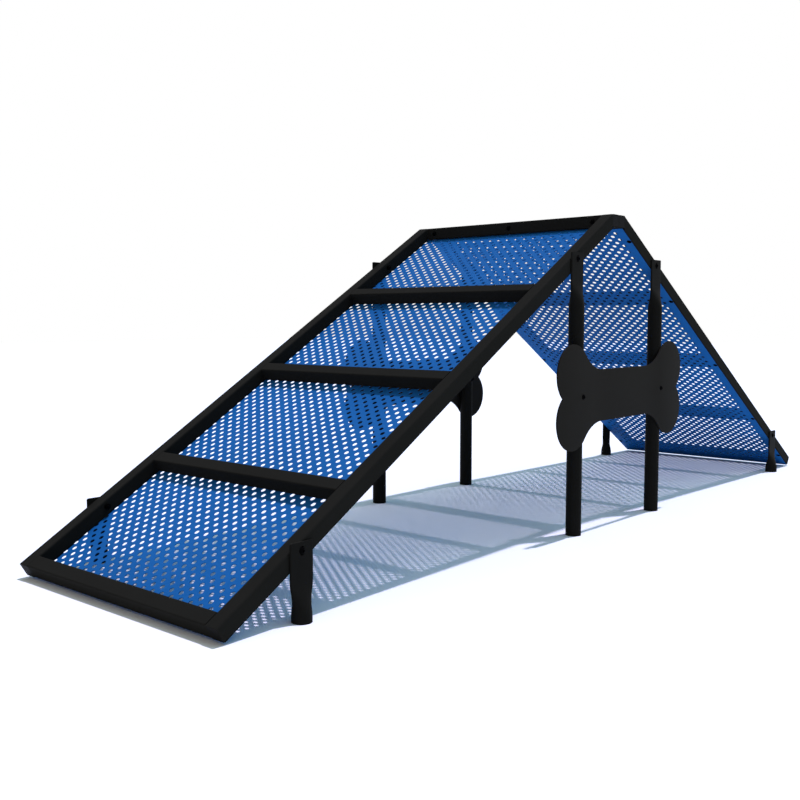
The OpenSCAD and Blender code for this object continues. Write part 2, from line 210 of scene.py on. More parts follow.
class RampPlace:
    """Where the front ramp lies: u runs up the slope from its low end, v is Y, w points out of its top."""

    def __init__(self, ramps):
        self.sine, self.cosine = math.sin(ramps.slope), math.cos(ramps.slope)
        self.low_top = ramps.low_gap + ramps.tube_side * self.cosine
        self.run = (ramps.ridge_height - self.low_top) / math.tan(ramps.slope)
        self.length = self.run / self.cosine
        self.half_length = self.run + ramps.tube_side
        self.rail_y = (ramps.frame_width - ramps.tube_side) / 2
        self.between = ramps.frame_width - 2 * ramps.tube_side
        self.ridge_height, self.tube_side, self.slope = ramps.ridge_height, ramps.tube_side, ramps.slope

    def world(self, u, v, w):
        """Ramp coordinates to the row's frame: the slope's turn about Y, then the low end's place."""
        x = u * self.cosine - w * self.sine - self.half_length
        z = u * self.sine + w * self.cosine + self.low_top
        return points_of(x, v, z)

    def rail_top(self, x):
        """Height of the rails' top line at a distance from the ridge."""
        return self.ridge_height - (x - self.tube_side) * math.tan(self.slope)

    def slats(self):
        """Centre lines of the three slats, at the quarters of the slope."""
        return np.array([0.25, 0.5, 0.75]) * self.length


def at_end(points, end):
    """Points of the front ramp, or the same points after half a turn about Z for the rear one."""
    return points if end == FRONT else points * HALF_TURN


class Shell:
    """Grids and caps that together make one mesh, with a block of faces for each."""

    def __init__(self):
        self.points, self.faces, self.count = [], [], 0

    def grid(self, points, close_rows=False, close_columns=False):
        """Adds a grid of rows by columns by 3 points as quads, joined end to end where asked."""
        rows, columns = points.shape[:2]
        row = np.arange(rows if close_rows else rows - 1)[:, None]
        column = np.arange(columns if close_columns else columns - 1)[None, :]
        below, beside = (row + 1) % rows, (column + 1) % columns
        corners = ((row, column), (row, beside), (below, beside), (below, column))
        quads = np.stack([line * columns + spot for line, spot in corners], -1)
        return self._keep(points.reshape(-1, 3), [quads.reshape(-1, 4)])

    def cap(self, loop):
        """Adds one flat face inside a loop of points."""
        return self._keep(loop, [np.arange(len(loop))[None]])

    def add(self, other, move=None):
        """Adds another shell's faces, with its points moved by a function."""
        points = np.concatenate(other.points)
        return self._keep(points if move is None else move(points), other.faces)

    def _keep(self, points, faces):
        """Keeps points, and blocks of faces whose corners count from the first of these points."""
        self.faces += [block + self.count for block in faces]
        self.points.append(points)
        self.count += len(points)
        return self

    def build(self, name, material, slot, *nodes, sharp=35.0):
        """Makes the object: merges doubled points, turns faces outwards, and smooths the edges that bend by
        less than the angle sharp, in degrees."""
        mesh = bpy.data.meshes.new(name)
        faces = [face for block in self.faces for face in block.tolist()]
        mesh.from_pydata(np.concatenate(self.points).tolist(), [], faces)
        work = bmesh.new()
        work.from_mesh(mesh)
        bmesh.ops.remove_doubles(work, verts=work.verts, dist=MERGE_DISTANCE)
        bmesh.ops.dissolve_degenerate(work, edges=work.edges, dist=MERGE_DISTANCE)
        bmesh.ops.recalc_face_normals(work, faces=work.faces)
        work.to_mesh(mesh)
        work.free()
        mesh.polygons.foreach_set("use_smooth", np.ones(len(mesh.polygons), bool))
        mesh.set_sharp_from_angle(angle=math.radians(sharp))
        mesh.materials.append(material)
        piece = bpy.data.objects.new(name, mesh)
        bpy.context.scene.collection.objects.link(piece)
        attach(piece, BODY)
        if nodes:
            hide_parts(*nodes)
        return piece


def rounded_square(side, radius, steps=6, support=0.0012):
    """Loop of a square with round corners: a quarter circle per corner, and a support point beside each end
    of it so that the flats stay flat when shaded smooth."""
    half, straight = side / 2, side / 2 - radius
    angle = np.linspace(0, QUARTER, steps + 1)
    arc = straight + radius * on_circle(angle)
    corner = np.concatenate([[[half, straight - support]], arc, [[straight - support, half]]])
    turns = np.arange(4) * QUARTER
    turn = np.array([[np.cos(turns), -np.sin(turns)], [np.sin(turns), np.cos(turns)]]).transpose(2, 0, 1)
    return np.concatenate([corner @ matrix.T for matrix in turn])


def tube_shell(ramps, place, low, high):
    """Square tube: the outer and inner loops swept from low(loop) to high(loop), and a ring that closes each
    end. place(loop, along) gives the points of a loop at a distance along the tube."""
    outer = rounded_square(ramps.tube_side, ramps.tube_corner)
    inner = rounded_square(ramps.tube_side - 2 * ramps.tube_wall, ramps.tube_corner - ramps.tube_wall)
    order = ((outer, low), (outer, high), (inner, high), (inner, low))
    rings = np.stack([place(loop, reach(loop)) for loop, reach in order])
    return Shell().grid(rings, close_rows=True, close_columns=True)


def weld_bead(start, finish, first, second, leg, ripple=0.0022, swell=0.06, ripple_steps=6, round_steps=6):
    """Fillet weld in the corner of two faces: a quarter disc of radius leg, spanned by the directions first
    and second, carried from start to finish. Along the seam its radius falls by up to twice the share swell
    and rises again, once a ripple, and it dies out at both ends with the root of the distance."""
    start, finish, first, second = (np.asarray(v, float) for v in (start, finish, first, second))
    span = np.linalg.norm(finish - start)
    share = np.linspace(0, 1, int(span / ripple * ripple_steps))
    end_fade = np.clip(np.minimum(share, 1 - share) * span / (2 * leg), 0, 1) ** 0.5
    radius = leg * end_fade * (1 - swell + swell * np.cos(2 * math.pi * share * span / ripple))
    arc = on_circle(np.linspace(0, QUARTER, round_steps + 1)) @ np.stack([first, second])
    section = np.concatenate([np.zeros((1, 3)), arc])
    path = start + np.outer(share, finish - start)
    return Shell().grid(path[:, None] + radius[:, None, None] * section[None], close_columns=True)


def stadium_radius(angle, half_width, half_straight):
    """Distance from the centre of an upright stadium to its outline in a direction: to its straight sides
    where they are met first, else to its end circles."""
    cosine, sine = np.abs(np.cos(angle)), np.abs(np.sin(angle))
    side = half_width / np.maximum(cosine, 1e-9)
    end = half_straight * sine + np.sqrt(np.maximum(half_width ** 2 - (half_straight * cosine) ** 2, 0))
    return np.where(side * sine <= half_straight, side, end)


def even_ease(share, bend=0.3):
    """Rise from 0 to 1 along a straight line whose two ends bend over into the level within a share bend of
    the way."""
    low = np.minimum(share, bend) ** 2 / (2 * bend)
    high = np.maximum(share - 1 + bend, 0) ** 2 / (2 * bend)
    return (low + np.maximum(share - bend, 0) - high) / (1 - bend)


def post_shell(posts, height, round_top, spread, across=24, round_steps=24, taper_steps=24, flat_steps=30,
               rim_steps=6):
    """Tube whose top is pressed flat, about its own axis. The flat's section is a stadium: two half circles
    with the wall as radius, joined by straights. Each of its points belongs to the point of the tube's circle
    at the same share of the half width. Up the taper a point goes from the circle to the stadium with an even
    ease, and across the flat with the power spread of that ease. The flat narrows in a quarter circle at its
    top corners, and has a slot right through it."""
    radius, edge, flat_base = posts.diameter / 2, posts.wall, height - posts.flat_length
    straight = posts.flat_width / 2 - edge
    bend = np.linspace(-QUARTER, QUARTER, round_steps + 1)
    bow = on_circle(bend)
    front = np.linspace(1, -1, across + 1)[1:-1]
    level = np.stack([straight * front, np.full(across - 1, edge)], -1)
    pressed = np.concatenate([edge * bow + [straight, 0], level, -edge * bow - [straight, 0], -level])
    cosine = pressed[:, 0] / (straight + edge)
    circle = np.stack([cosine, np.copysign(np.sqrt(np.maximum(1 - cosine ** 2, 0)), pressed[:, 1])], -1)

    def section(flat_share, flat_reach, ring_radius, z):
        """Loop at a height: shares of the stadium's two directions, and the circle times a radius."""
        loop = pressed * [flat_reach, flat_share] + circle * ring_radius
        return points_of(*loop.T, z)

    bore, bore_top = radius - posts.wall, round_top - posts.wall
    share = np.linspace(0, 1, taper_steps + 1)
    taper = [section(ease, ease ** spread, radius * (1 - ease), round_top + (flat_base - round_top) * along)
             for ease, along in zip(even_ease(share), share)]
    bore_end = section(0, 0, bore, bore_top)
    rings = [bore_end, section(0, 0, bore, 0), section(0, 0, radius, 0), *taper]
    shell = Shell().grid(np.stack(rings), close_columns=True).cap(bore_end)

    bow, front = bow * edge, np.linspace(straight, -straight, across + 1)
    corner = posts.flat_corner
    rim = np.linspace(0, QUARTER, rim_steps + 1)[1:]
    shoulder_z = height - corner
    z = np.concatenate([np.linspace(flat_base, shoulder_z, flat_steps), shoulder_z + corner * np.sin(rim)])
    inset = np.concatenate([np.zeros(flat_steps), corner * (1 - np.cos(rim))])
    for hand in (LEFT, RIGHT):
        x = hand * (straight - inset[:, None] + bow[None, :, 0])
        shell.grid(points_of(x, bow[None, :, 1], z[:, None]))

    top = np.linspace(straight - inset[-1], inset[-1] - straight, across + 1)
    side = np.stack([straight - inset, z], -1)
    outline = np.concatenate([
        side[:-1], np.stack([top, np.full(across + 1, height)], -1)[:-1],
        side[:0:-1] * [-1, 1], np.stack([-front, np.full(across + 1, flat_base)], -1)[:-1]])
    centre = np.array([0, height - posts.bolt_drop])
    around = np.arctan2(outline[:, 1] - centre[1], outline[:, 0])
    reach = stadium_radius(around, posts.slot_width / 2, (posts.slot_length - posts.slot_width) / 2)
    slot = centre + reach[:, None] * on_circle(around)
    loops = np.stack([slot, outline])
    for face in (edge, -edge):
        shell.grid(points_of(loops[..., 0], face, loops[..., 1]), close_columns=True)
    shell.grid(points_of(slot[:, 0], np.array([[edge], [-edge]]), slot[:, 1]), close_columns=True)
    shoulder = straight - inset[-1]
    top_loop = np.concatenate([
        bow + [shoulder, 0], np.stack([top[1:-1], np.full(across - 1, edge)], -1),
        -bow - [shoulder, 0], np.stack([-top[1:-1], np.full(across - 1, -edge)], -1)])
    return shell.cap(points_of(*top_loop.T, height))


def bone_outline(bones, lobe_steps=72, blend_steps=30, shaft_steps=9):
    """Loop of the bone: for each quarter a straight along the shaft, a hollow arc that touches it, a lobe's
    arc that touches the hollow one and ends in the notch between two lobes, then the same mirrored."""
    blend_z = bones.shaft / 2 + bones.blend_radius
    reach, rise = bones.lobe_radius + bones.blend_radius, blend_z - bones.lobe_z
    blend_x = bones.lobe_x - math.sqrt(reach ** 2 - rise ** 2)
    touch = math.atan2(-rise, bones.lobe_x - blend_x)
    notch = math.atan2(-bones.lobe_z, math.sqrt(bones.lobe_radius ** 2 - bones.lobe_z ** 2))
    hollow = np.linspace(-QUARTER, touch, blend_steps)
    lobe = np.linspace(touch + math.pi, notch, lobe_steps)[1:]
    level = np.linspace(0, blend_x, shaft_steps, endpoint=False)
    quarter = np.concatenate([
        np.stack([level, np.full(shaft_steps, bones.shaft / 2)], -1),
        [blend_x, blend_z] + bones.blend_radius * on_circle(hollow),
        [bones.lobe_x, bones.lobe_z] + bones.lobe_radius * on_circle(lobe)])
    half = np.concatenate([quarter, quarter[-2::-1] * [1, -1]])
    return np.concatenate([half, half[-2:0:-1] * [-1, 1]])


def plate_shell(outline, thickness, edge, steps=4):
    """Flat plate: the outline carried round its rounded edge, inset by edge * (1 - cos) at a depth of
    edge * (1 - sin) below each face, and a cap on both sides."""
    ahead, behind = np.roll(outline, -1, 0) - outline, outline - np.roll(outline, 1, 0)
    along = ahead / np.linalg.norm(ahead, axis=1)[:, None] + behind / np.linalg.norm(behind, axis=1)[:, None]
    inward = np.stack([along[:, 1], -along[:, 0]], -1) / np.linalg.norm(along, axis=1)[:, None]
    turn = np.linspace(0, QUARTER, steps + 1)
    inset = edge * (1 - np.cos(turn))
    depth = thickness / 2 - edge * (1 - np.sin(turn))
    inset, depth = np.concatenate([inset[::-1], inset]), np.concatenate([depth[::-1], -depth])
    loops = outline[None] + inset[:, None, None] * inward[None]
    points = points_of(loops[..., 0], depth[:, None], loops[..., 1])
    return Shell().grid(points, close_columns=True).cap(points[0]).cap(points[-1])


def lathe_rings(radius, z, angle):
    """Rings about Z: radius and z are numbers or arrays over the angle, one pair per ring."""
    return np.stack([points_of(r * np.cos(angle), r * np.sin(angle), h) for r, h in zip(radius, z)])


def hexagon_radius(angle, across_flats):
    """Distance from a hexagon's centre to its side in a direction: half the width over the cosine of the
    angle to the nearest flat."""
    sixth = math.pi / 3
    return across_flats / 2 / np.cos((angle + sixth / 2) % sixth - sixth / 2)


def domed_head(width, height, socket, socket_depth, columns=36, dome_steps=8, rim_share=0.12):
    """Low domed head with a hexagon socket, standing on 0: a ball's cap cut by a short upright rim, and the
    socket's straight walls and floor."""
    angle = full_turn(columns)
    rim = height * rim_share
    ball = ((width / 2) ** 2 + (height - rim) ** 2) / (2 * (height - rim))

    def dome(r):
        """Height of the ball at a distance from the axis."""
        return height - ball + np.sqrt(ball ** 2 - r ** 2)

    hexagon = hexagon_radius(angle, socket)
    share = np.linspace(0, 1, dome_steps + 1)
    over = [width / 2 * (1 - s) + hexagon * s for s in share]
    radii = [width / 2, *over, hexagon]
    heights = [0, *(dome(r) for r in over), height - socket_depth]
    rings = lathe_rings(radii, heights, angle)
    return Shell().grid(rings, close_columns=True).cap(rings[0]).cap(rings[-1])


def shank_shell(diameter, bottom, thread, pitch, columns=24, depth_share=0.45, chamfer_share=0.5):
    """Shank from 0 down to bottom: a plain cylinder, then a stretch of thread whose radius falls and rises
    once a pitch, and a small chamfer. Thread depth and chamfer are shares of the pitch."""
    angle = full_turn(columns)
    turns = max(1, round(thread / pitch))
    crest = np.arange(2 * turns + 1)
    thread_z = bottom + thread * (1 - crest / (2 * turns))
    thread_r = diameter / 2 - np.where(crest % 2 == 1, pitch * depth_share, 0.0)
    radii = np.concatenate([[diameter / 2], thread_r[:-1], [diameter / 2 - pitch * chamfer_share]])
    z = np.concatenate([[0], thread_z[:-1], [bottom]])
    rings = lathe_rings(radii, z, angle)
    return Shell().grid(rings, close_columns=True).cap(rings[0]).cap(rings[-1])


def nut_shell(across_flats, height, bore, columns=48, face_share=0.96, flare_share=0.06,
              chamfer=math.radians(30)):
    """Hexagon nut with both faces chamfered, standing on 0: the chamfer cone falls from the face's circle
    towards the corners, so its edge dips at each corner. The bore flares at both mouths by a share of its
    radius."""
    angle = full_turn(columns)
    hexagon = hexagon_radius(angle, across_flats)
    circle = across_flats / 2 * face_share
    drop = (hexagon - circle) * math.tan(chamfer)
    hole, flare = bore / 2, bore / 2 * flare_share
    mouth = hole + flare
    radii = [hole, mouth, circle, hexagon, hexagon, circle, mouth, hole]
    z = [flare, 0, 0, drop, height - drop, height, height, height - flare]
    return Shell().grid(lathe_rings(radii, z, angle), close_rows=True, close_columns=True)


class Wire:
    """A socket that takes part in arithmetic: each operation adds a Math node."""

    def __init__(self, finish, socket):
        self.finish, self.socket = finish, socket

    def _math(self, operation, first, second):
        return self.finish.node("ShaderNodeMath", {"operation": operation}, {0: first, 1: second})

    def __add__(self, other):
        return self._math("ADD", self, other)

    def __mul__(self, other):
        return self._math("MULTIPLY", self, other)

    def __gt__(self, other):
        return self._math("GREATER_THAN", self, other)

    def __abs__(self):
        return self._math("ABSOLUTE", self, 0.0)

    __radd__, __rmul__ = __add__, __mul__


class Finish:
    """A material, or the world, as a tree of nodes."""

    def __init__(self, owner):
        owner.use_nodes = True
        self.tree = owner.node_tree
        self.tree.nodes.clear()

    def node(self, kind, settings=None, inputs=None, output=0):
        """Adds a node of a kind, sets its settings and then its sockets, and returns one of its outputs."""
        made = self.tree.nodes.new(kind)
        for key, value in (settings or {}).items():
            setattr(made, key, value)
        for key, value in (inputs or {}).items():
            if isinstance(value, Wire):
                self.tree.links.new(value.socket, made.inputs[key])
            else:
                made.inputs[key].default_value = value
        return Wire(self, made.outputs[output]) if made.outputs else None

    def mix(self, share, first, second):
        """Colour between two colours."""
        return self.node("ShaderNodeMix", {"data_type": "RGBA"}, {0: share, 6: first, 7: second}, output=2)

    def noise(self, place, scale, detail):
        """Even noise from 0 to 1, with a grain of one over the scale."""
        return self.node("ShaderNodeTexNoise", {}, {"Vector": place, "Scale": scale, "Detail": detail})

    def axis(self, vector, name):
        """One of the three numbers of a vector."""
        return self.node("ShaderNodeSeparateXYZ", {}, {"Vector": vector}, output=name)

    def surface(self, base, roughness, specular, bumps, distance, strength):
        """Closes a material: its colour, roughness and reflection, and bumps of a distance at a strength."""
        normal = self.node("ShaderNodeBump", {}, {
            "Strength": strength, "Distance": distance, "Height": bumps})
        coat = self.node("ShaderNodeBsdfPrincipled", {}, {
            "Base Color": base, "Roughness": roughness, "Normal": normal, "Specular IOR Level": specular})
        self.node("ShaderNodeOutputMaterial", {}, {"Surface": coat})


def new_finish(name):
    """A new material, its tree, and the place on the piece that its patterns read."""
    material = bpy.data.materials.new(name)
    finish = Finish(material)
    return material, finish, finish.node("ShaderNodeTexCoord", output="Object")


def shade(rgb, factor):
    """A colour made lighter or darker, as the four numbers of a socket."""
    return tuple(min(1.0, channel * factor) for channel in rgb) + (1.0,)


def powder_coat(name, rgb, roughness, specular, edge=None):
    """Powder coat: one colour with a slight cloudiness, and the low rounded bumps of a cured coat. An edge is
    a distance from the middle plane and a dark colour painted beyond it as shade, so a sheet's side edge reads
    as shadow."""
    material, finish, place = new_finish(name)
    cloud = finish.noise(place, scale=5.0, detail=3.0)
    grain = finish.noise(place, scale=900.0, detail=1.0)
    peel = finish.noise(place, scale=420.0, detail=1.5)
    base = finish.mix(cloud, shade(rgb, 0.86), shade(rgb, 1.14))
    if edge:
        reach, cut = edge
        # Painted shade: past the reach the sheet's side edge turns dark, standing in for the shade under the
        # rail.
        base = finish.mix(abs(finish.axis(place, "Y")) > reach, base, shade(cut, 1.0))
    finish.surface(base, roughness - 0.05 + cloud * 0.06 + grain * 0.04, specular,
                   bumps=peel + grain * 0.3, distance=0.00005, strength=0.6)
    return material


def black_oxide(name, rgb):
    """Black oxide on steel: a dark film, patchy in colour and gloss, with a fine grain."""
    material, finish, place = new_finish(name)
    patch = finish.noise(place, scale=160.0, detail=3.0)
    grain = finish.noise(place, scale=2200.0, detail=1.0)
    base = finish.mix(patch, shade(rgb, 0.7), shade(rgb, 1.5))
    finish.surface(base, 0.36 + patch * 0.16, specular=0.01, bumps=grain, distance=0.00002, strength=0.25)
    return material


def moulded_plastic(name, rgb):
    """Moulded plastic: an even colour with a spark-eroded grain."""
    material, finish, place = new_finish(name)
    grain = finish.noise(place, scale=700.0, detail=2.0)
    base = finish.mix(grain, shade(rgb, 0.9), shade(rgb, 1.1))
    finish.surface(base, 0.52 + grain * 0.1, specular=0.04, bumps=grain, distance=0.00006, strength=0.4)
    return material


def coat_of(slot, settings):
    """The finish of one of the record's material slots, made once. The sheets' side edges get a dark painted
    shade.
    """
    made = bpy.data.materials.get(f"aframe_{slot}")
    if made:
        return made
    colours, ramps = settings.colours, settings.ramps
    # Painted shade on the sheets' side edges, in the oxide's dark colour, so they fade into the dark rails and
    # their shade.
    edge = (ramps.frame_width / 2 - ramps.sheet_inset - PAINTED_SHADE_EDGE_DEPTH, colours.oxide_and_edge_shade)
    makers = {
        "frame": lambda name: powder_coat(name, colours.frame_coat, roughness=0.50, specular=0.004),
        "post": lambda name: powder_coat(name, colours.post_coat, roughness=0.48, specular=0.015),
        "bone_plate": lambda name: powder_coat(name, colours.plate_coat, roughness=0.58, specular=0.015),
        "panel": lambda name: powder_coat(name, colours.panel_coat, roughness=0.55, specular=0.03, edge=edge),
        "plug": lambda name: moulded_plastic(name, colours.plug_plastic),
        "fastener": lambda name: black_oxide(name, colours.oxide_and_edge_shade),
    }
    return makers[slot](f"aframe_{slot}")


def floor_finish(name, rgb):
    """White floor: plain matt, bright enough in the open to meet the white background, with the shadows."""
    material = bpy.data.materials.new(name)
    finish = Finish(material)
    matt = finish.node("ShaderNodeBsdfDiffuse", {}, {"Color": shade(rgb, 1.0)})
    finish.node("ShaderNodeOutputMaterial", {}, {"Surface": matt})
    return material


def light_world(ahead, behind):
    """World: a sky that lights the object, whose colour goes from one to the other along X and rises from
    black with the height of the direction, and plain white where the camera or a reflection looks past it."""
    world = bpy.data.worlds.new("aframe_sky")
    bpy.context.scene.world = world
    finish = Finish(world)
    rays = ("Is Camera Ray", "Is Glossy Ray", "Is Transmission Ray")
    seen = [finish.node("ShaderNodeLightPath", output=ray) for ray in rays]
    plain = sum(seen) > 0.5
    direction = finish.node("ShaderNodeTexCoord", output="Generated")
    along, height = finish.axis(direction, "X"), finish.axis(direction, "Z")
    sky = finish.mix(height, (0, 0, 0, 1), finish.mix(along * 0.5 + 0.5, (*ahead, 1), (*behind, 1)))
    shown = finish.mix(plain, sky, (1, 1, 1, 1))
    light = finish.node("ShaderNodeBackground", {}, {"Color": shown, "Strength": 1.0})
    finish.node("ShaderNodeOutputWorld", {}, {"Surface": light})


class AFRAME_OT_tubes(bpy.types.Operator):
    """Square tubes of both ramp frames: side rails, bottom rails, slats and ridge beams"""

    bl_idname = "aframe.tubes"
    bl_label = "Frame tubes"

    def execute(self, context):
        settings = context.scene.aframe
        ramps, place = settings.ramps, RampPlace(settings.ramps)
        coat, half = coat_of("frame", settings), ramps.tube_side / 2

        def rail(hand):
            """Side rail, from the low end to the plumb cut against the ridge beam."""
            def points(loop, along):
                return place.world(along, loop[:, 0] + hand * place.rail_y, loop[:, 1] - half)

            def ridge_face(loop):
                w = loop[:, 1] - half
                return (place.half_length - ramps.tube_side + w * place.sine) / place.cosine

            return tube_shell(ramps, points, lambda loop: 0.0, ridge_face)

        def cross(centre):
            """Slat or bottom rail between the side rails, with its centre line at a distance up the slope."""
            def points(loop, along):
                return place.world(centre + loop[:, 0], along, loop[:, 1] - half)

            reach = place.between / 2
            return tube_shell(ramps, points, lambda loop: -reach, lambda loop: reach)

        def beam():
            """Level ridge beam over the whole width."""
            def points(loop, along):
                return points_of(loop[:, 0] - half, along, loop[:, 1] + ramps.ridge_height - half)

            reach = ramps.frame_width / 2
            return tube_shell(ramps, points, lambda loop: -reach, lambda loop: reach)

        shells = {"bottom_rail": cross(half), "ridge_beam": beam()}
        for centre, name in zip(place.slats(), ("low_slat", "mid_slat", "high_slat")):
            shells[name] = cross(centre)
        for end, end_name in ENDS.items():
            for hand, hand_name in HANDS.items():
                name = f"{end_name}_{hand_name}_rail"
                shell = Shell().add(rail(-hand * end), lambda points: at_end(points, end))
                shell.build(f"{name}_tube", coat, "frame", name)
            for part, made in shells.items():
                name = f"{end_name}_{part}"
                shell = Shell().add(made, lambda points: at_end(points, end))
                shell.build(f"{name}_tube", coat, "frame", name)
        return {"FINISHED"}


class AFRAME_OT_welds(bpy.types.Operator):
    """Fillet welds in the inner corners where slats, bottom rails and ridge beams meet the side rails"""

    bl_idname = "aframe.welds"
    bl_label = "Welds"

    def execute(self, context):
        settings = context.scene.aframe
        ramps, place = settings.ramps, RampPlace(settings.ramps)
        half, leg = ramps.tube_side / 2, ramps.weld
        deep, high = -ramps.tube_side + ramps.tube_corner, -ramps.tube_corner
        up = np.array([place.cosine, 0, place.sine])
        seams = [(ramps.tube_side, 1)]
        seams += [(centre + side * half, side) for centre in place.slats() for side in (-1, 1)]
        beads = Shell()
        for hand in (LEFT, RIGHT):
            y, inward = hand * place.between / 2, np.array([0, -hand, 0])
            for u, side in seams:
                beads.add(weld_bead(place.world(u, y, deep), place.world(u, y, high), up * side, inward, leg))
            face = -ramps.tube_side
            foot = np.array([face, y, ramps.ridge_height - ramps.tube_side + ramps.tube_corner])
            head = np.array([face, y, ramps.ridge_height - ramps.tube_corner])
            beads.add(weld_bead(foot, head, (-1, 0, 0), inward, leg))
        shell = Shell()
        for end in (FRONT, REAR):
            shell.add(beads, lambda points: at_end(points, end))
        shell.build("frame_welds", coat_of("frame", settings), "frame", sharp=60.0)
        return {"FINISHED"}


class AFRAME_OT_posts(bpy.types.Operator):
    """Eight round posts whose tops are pressed flat and slotted for a bolt"""

    bl_idname = "aframe.posts"
    bl_label = "Posts"

    def execute(self, context):
        settings = context.scene.aframe
        posts, place = settings.posts, RampPlace(settings.ramps)
        coat = coat_of("post", settings)
        post_y = settings.ramps.frame_width / 2 + posts.wall
        short_x = place.half_length - posts.short_inset
        tall_round = place.rail_top(posts.tall_x) - posts.flat_length - posts.taper_length
        kinds = (("short_post", short_x, posts.foot_length, posts.short_spread),
                 ("tall_post", posts.tall_x, tall_round, posts.tall_spread))
        for kind, x, round_top, spread in kinds:
            made = post_shell(posts, place.rail_top(x), round_top, spread)
            for end, end_name in ENDS.items():
                for hand, hand_name in HANDS.items():
                    name = f"{end_name}_{hand_name}_{kind}"
                    at = np.array([end * x, hand * post_y, 0])
                    shell = Shell().add(made, lambda points: points + at)
                    shell.build(f"{name}_tube", coat, "post", name, sharp=40.0)
        return {"FINISHED"}


class AFRAME_OT_bone_plates(bpy.types.Operator):
    """Bone-shaped plates in front of the tall posts, with slightly rounded edges"""

    bl_idname = "aframe.bone_plates"
    bl_label = "Bone plates"

    def execute(self, context):
        settings = context.scene.aframe
        bones, posts = settings.bones, settings.posts
        coat = coat_of("bone_plate", settings)
        made = plate_shell(bone_outline(bones), bones.thickness, bones.edge)
        y = settings.ramps.frame_width / 2 + posts.wall + posts.diameter / 2 + bones.thickness / 2
        for hand, name in HANDS.items():
            at = np.array([0, hand * y, bones.centre_height])
            shell = Shell().add(made, lambda points: points + at)
            shell.build(f"{name}_bone", coat, "bone_plate", f"{name}_bone_plate")
        return {"FINISHED"}


class AFRAME_OT_fasteners(bpy.types.Operator):
    """Bolts and nuts of the posts, the ridge and the bone plates, and the screws under the sheets"""

    bl_idname = "aframe.fasteners"
    bl_label = "Fasteners"

    def execute(self, context):
        settings = context.scene.aframe
        sizes, posts, ramps = settings.fasteners, settings.posts, settings.ramps
        place, oxide = RampPlace(ramps), coat_of("fastener", settings)
        flat, tube, bone = 2 * posts.wall, ramps.tube_side, settings.bones.thickness
        head = domed_head(sizes.head, sizes.head_height, sizes.socket, sizes.socket_depth)
        nut = nut_shell(sizes.nut, sizes.nut_height, sizes.bolt)

        def bolt(grip):
            """Bolt whose head stands on 0 and whose nut starts a grip below."""
            thread = sizes.nut_height + sizes.tip
            return Shell().add(head).add(shank_shell(sizes.bolt, -grip - thread, thread, sizes.pitch))

        def turned(centre, axis):
            """Moves points so that their Z follows an axis of the frame from a centre."""
            axis = np.asarray(axis, float)
            side = np.cross(axis, [0.0, 0.0, 1.0])
            return lambda points: np.asarray(centre) + points @ np.stack([side, np.cross(axis, side), axis])

        def under_sheet(u, v):
            """Moves points so that their Z points out of a sheet's underside at a place of the front ramp."""
            return lambda points: place.world(
                u + points[:, 0], v - points[:, 1], -tube - ramps.sheet - points[:, 2])

        def group(spots, grip, bolts, nuts):
            """Builds the bolts and the nuts that hold a grip together, at centres and axes."""
            made, bolt_group, nut_group = bolt(grip), Shell(), Shell()
            for centre, axis in spots:
                move = turned(centre, axis)
                bolt_group.add(made, move)
                nut_group.add(nut, lambda points: move(points - [0, 0, grip + sizes.nut_height]))
            bolt_group.build(f"{bolts}_set", oxide, "fastener", bolts, sharp=30.0)
            nut_group.build(f"{nuts}_set", oxide, "fastener", nuts, sharp=25.0)

        outer = ramps.frame_width / 2 + flat
        group([((end * x, hand * outer, place.rail_top(x) - posts.bolt_drop), (0, hand, 0))
               for end in (FRONT, REAR) for hand in (LEFT, RIGHT)
               for x in (place.half_length - posts.short_inset, posts.tall_x)],
              flat + tube, "post_bolts", "post_nuts")
        ridge_y = place.between / 2 - sizes.ridge_inset
        group([((-tube, y, ramps.ridge_height - tube / 2), (-1, 0, 0)) for y in (-ridge_y, 0, ridge_y)],
              2 * tube, "ridge_bolts", "ridge_nuts")
        plate_face = ramps.frame_width / 2 + posts.wall + posts.diameter / 2 + bone
        group([((x, hand * plate_face, settings.bones.centre_height), (0, hand, 0))
               for hand in (LEFT, RIGHT) for x in (-posts.tall_x, posts.tall_x)],
              bone + posts.diameter, "bone_bolts", "bone_nuts")

        screw_head = domed_head(sizes.screw_head, sizes.screw_head_height, sizes.screw_socket,
                                sizes.screw_socket_depth)
        reach = ramps.sheet + ramps.tube_wall + sizes.tip
        screw = Shell().add(screw_head).add(shank_shell(sizes.screw, -reach, sizes.tip, sizes.screw_pitch))
        # The sheets meet midway between the two rows of holes that are nearest to a slat's centre line.
        rows = np.round((place.slats() - ramps.first_row) / ramps.row_step + 0.5)
        seams = ramps.first_row + (rows - 0.5) * ramps.row_step
        screw_y = ramps.frame_width / 2 - sizes.screw_inset
        front_screws, screws = Shell(), Shell()
        for hand in (LEFT, RIGHT):
            for u in (sizes.low_screw, *seams, place.length - sizes.high_screw):
                front_screws.add(screw, under_sheet(u, hand * screw_y))
        for end in (FRONT, REAR):
            screws.add(front_screws, lambda points: at_end(points, end))
        screws.build("panel_screws_set", oxide, "fastener", "panel_screws", sharp=30.0)
        return {"FINISHED"}


class AFRAME_OT_finishes(bpy.types.Operator):
    """Finishes of the solids, of which the perforated sheets and the plugs are shown as they are"""

    bl_idname = "aframe.finishes"
    bl_label = "Finishes"

    def execute(self, context):
        settings = context.scene.aframe
        slots = {part["node"]: part["material_slot"] for part in frame["record"]["subparts"]}
        for name, node in frame["nodes"].items():
            node.data.materials.clear()
            node.data.materials.append(coat_of(slots[name], settings))
        return {"FINISHED"}


